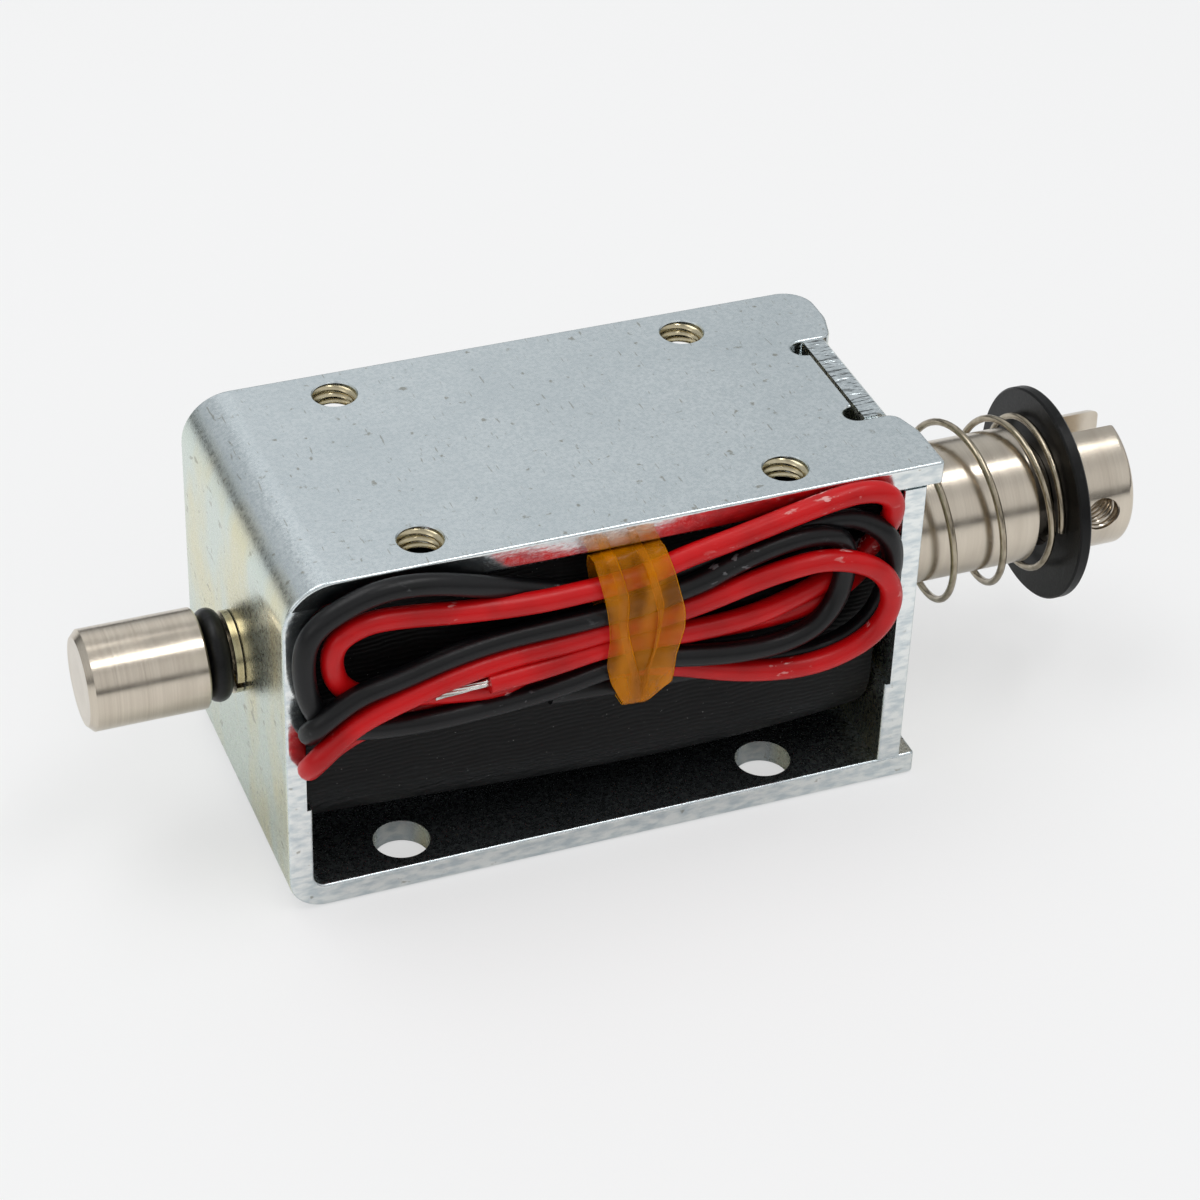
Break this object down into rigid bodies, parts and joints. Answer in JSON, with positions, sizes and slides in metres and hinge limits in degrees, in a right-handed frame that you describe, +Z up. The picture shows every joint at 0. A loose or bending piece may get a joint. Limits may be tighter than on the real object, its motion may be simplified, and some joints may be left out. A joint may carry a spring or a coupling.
{
  "type": "open-frame push-pull solenoid",
  "caption": "Open-frame solenoid with a bent steel frame, taped coil, spring-returned slotted plunger and capped push rod, its two leads folded and tied at the front.",
  "frame": {"origin": "middle of the frame's base face, where it rests and is bolted down", "axes": "+X along the plunger axis towards its slotted end, -Y out of the open side with the leads, +Z up towards the face with the tapped holes"},
  "size_m": [0.088, 0.0295, 0.0308],
  "materials": {
    "zinc_plated_steel": "zinc plated, satin",
    "soft_iron": "turned",
    "brass_tube": "drawn",
    "bobbin_plastic": "moulded",
    "copper_winding": "enamelled wire",
    "black_cloth_tape": "coated cloth tape",
    "turned_steel": "fine turned",
    "spring_steel": "drawn wire",
    "black_rubber": "satin",
    "black_plastic": "satin",
    "red_insulation": "PVC, satin",
    "black_insulation": "PVC, satin",
    "amber_film": "polyimide film",
    "tinned_copper": "tinned"
  },
  "bodies": {
    "frame": {"frame_channel": "zinc_plated_steel", "end_plate": "zinc_plated_steel", "pole_piece": "soft_iron", "guide_tube": "brass_tube", "bobbin": "bobbin_plastic", "coil_winding": "copper_winding", "coil_wrap": "black_cloth_tape", "return_spring": "spring_steel", "red_lead": "red_insulation", "black_lead": "black_insulation", "lead_hank": "red_insulation", "lead_band": "amber_film", "red_lead_end": "tinned_copper", "black_lead_end": "tinned_copper"},
    "spring_seat": {"spring_washer": "black_plastic"},
    "plunger": {"plunger": "turned_steel", "push_rod": "turned_steel", "end_cap": "turned_steel", "bumper_ring": "black_rubber", "stop_ring": "spring_steel"}
  },
  "joints": [
    {"name": "plunger_stroke", "type": "slide", "parent": "frame", "child": "spring_seat", "axis": [-1, 0, 0], "range_m": [0, 0.01], "stiffness_N_per_m": 150, "springref_m": -0.012, "deforming": ["return_spring"]},
    {"name": "plunger_spin", "type": "hinge", "parent": "spring_seat", "child": "plunger", "pos_m": [0, 0, 0.0156], "axis": [1, 0, 0], "continuous": true}
  ]
}
